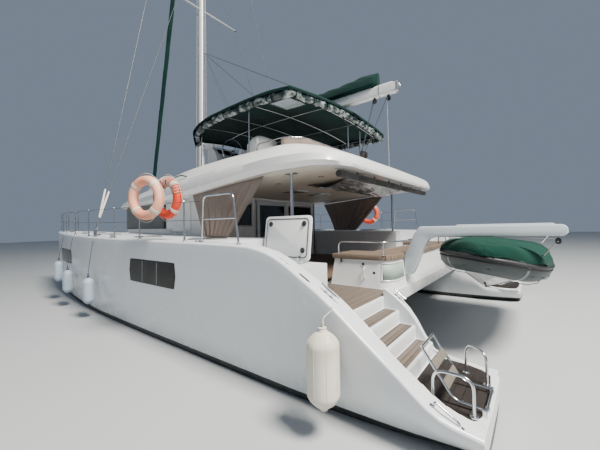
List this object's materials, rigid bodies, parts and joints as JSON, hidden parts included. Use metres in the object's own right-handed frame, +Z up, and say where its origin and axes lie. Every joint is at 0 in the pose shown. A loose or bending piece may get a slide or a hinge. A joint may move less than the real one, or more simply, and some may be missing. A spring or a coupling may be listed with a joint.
{
  "type": "sailing catamaran",
  "caption": "Cruising sailing catamaran with flybridge and bimini, stacked mainsail on the boom, furled headsail, stern stairs, and a tender on davits.",
  "frame": {"origin": "on the waterline plane at the centreline, amidships", "axes": "+X forward, +Y to port, +Z up"},
  "size_m": [14.045, 8.05, 21.66],
  "materials": {
    "gelcoat": "white moulded gelcoat, lightly weathered",
    "deck_gelcoat": "non-slip deck gelcoat",
    "antifouling": "flat black bottom paint",
    "glazing": "dark tinted glazing",
    "stainless": "polished stainless steel",
    "aluminium": "anodised aluminium",
    "bronze": "dull bronze",
    "canvas_green": "dark green acrylic canvas",
    "canvas_tan": "brown-grey mesh cloth",
    "canvas_grey": "dark grey cloth",
    "net_white": "white netting",
    "ring_red": "orange-red lifebuoy skin",
    "ring_faded": "sun-faded lifebuoy skin",
    "fender_white": "off-white inflated vinyl",
    "fender_blue": "pale blue-grey inflated vinyl",
    "tube_grey": "grey coated fabric tube"
  },
  "bodies": {
    "boat": {"hull_port": "gelcoat", "hull_starboard": "gelcoat", "bridge_deck": "deck_gelcoat", "coachroof": "gelcoat", "saloon_walls": "gelcoat", "saloon_glazing": "glazing", "flybridge_moulding": "gelcoat", "bimini_canopy": "canvas_green", "bimini_frame": "stainless", "flybridge_rail": "stainless", "weather_cloth": "canvas_tan", "mast": "aluminium", "crossbeam": "aluminium", "trampoline": "net_white", "furled_headsail": "canvas_green", "shrouds_port": "stainless", "shrouds_starboard": "stainless", "pulpit_port": "stainless", "pulpit_starboard": "stainless", "side_rail_port": "stainless", "side_rail_starboard": "stainless", "gate_hoop_port": "stainless", "gate_hoop_starboard": "stainless", "life_ring_outboard": "ring_faded", "life_ring_inboard": "ring_red", "life_ring_starboard": "ring_red", "cockpit_bench": "gelcoat", "cockpit_post_port": "stainless", "cockpit_post_starboard": "stainless", "side_curtain_port": "canvas_tan", "side_curtain_starboard": "canvas_tan", "rolled_curtain": "canvas_grey", "davit_port": "gelcoat", "davit_starboard": "gelcoat", "tender_tube": "tube_grey", "tender_hull": "gelcoat", "tender_cover": "canvas_green", "fender_quarter": "fender_white", "fender_bow_aft": "fender_blue", "fender_bow_middle": "fender_blue", "fender_bow_forward": "fender_blue", "saildrive_port": "antifouling", "saildrive_starboard": "antifouling", "grab_hoop_inner": "stainless", "grab_hoop_outer": "stainless"},
    "boom_and_sail": {"boom": "aluminium", "sail_cover": "canvas_green"},
    "wheel": {"steering_wheel": "stainless"},
    "rudder_p": {"rudder_port": "antifouling"},
    "rudder_s": {"rudder_starboard": "antifouling"},
    "propeller_p": {"propeller_port": "bronze"},
    "propeller_s": {"propeller_starboard": "bronze"},
    "door": {"saloon_door": "aluminium", "saloon_door_pane": "glazing"},
    "lid_p": {"hatch_lid_port": "gelcoat"},
    "lid_s": {"hatch_lid_starboard": "gelcoat"},
    "ladder": {"boarding_ladder": "stainless"}
  },
  "joints": [
    {"name": "boom_swing", "type": "hinge", "parent": "boat", "child": "boom_and_sail", "pos_m": [2.04, 0, 4.73], "axis": [0, 0, 1], "range_deg": [-65, 65]},
    {"name": "wheel_turn", "type": "hinge", "parent": "boat", "child": "wheel", "pos_m": [-0.68, 1.07, 3.89], "axis": [1, 0, 0], "range_deg": [-360, 360]},
    {"name": "rudder_port_turn", "type": "hinge", "parent": "boat", "child": "rudder_p", "pos_m": [-5.56, 3.05, -0.29], "axis": [0, 0, 1], "range_deg": [-35, 35]},
    {"name": "rudder_starboard_turn", "type": "hinge", "parent": "boat", "child": "rudder_s", "pos_m": [-5.56, -3.05, -0.29], "axis": [0, 0, 1], "range_deg": [-35, 35]},
    {"name": "propeller_port_spin", "type": "hinge", "parent": "boat", "child": "propeller_p", "pos_m": [-4.6, 3.025, -0.8], "axis": [1, 0, 0], "continuous": true},
    {"name": "propeller_starboard_spin", "type": "hinge", "parent": "boat", "child": "propeller_s", "pos_m": [-4.6, -3.025, -0.8], "axis": [1, 0, 0], "continuous": true},
    {"name": "door_slide", "type": "slide", "parent": "boat", "child": "door", "axis": [0, -1, 0], "range_m": [0, 1.08]},
    {"name": "lid_port_turn", "type": "hinge", "parent": "boat", "child": "lid_p", "pos_m": [-3.8, 2.69, 1.404], "axis": [1, 0, 0], "range_deg": [-98, 0]},
    {"name": "lid_starboard_turn", "type": "hinge", "parent": "boat", "child": "lid_s", "pos_m": [-3.8, -2.69, 1.404], "axis": [-1, 0, 0], "range_deg": [0, 98]},
    {"name": "ladder_fold", "type": "hinge", "parent": "boat", "child": "ladder", "pos_m": [-6.598, 3.2, 0.364], "axis": [0, -1, 0], "range_deg": [0, 180]}
  ],
  "couplings": [
    {"joint": "rudder_port_turn", "follows": "wheel_turn", "ratio": 0.0972},
    {"joint": "rudder_starboard_turn", "follows": "wheel_turn", "ratio": 0.0972}
  ]
}
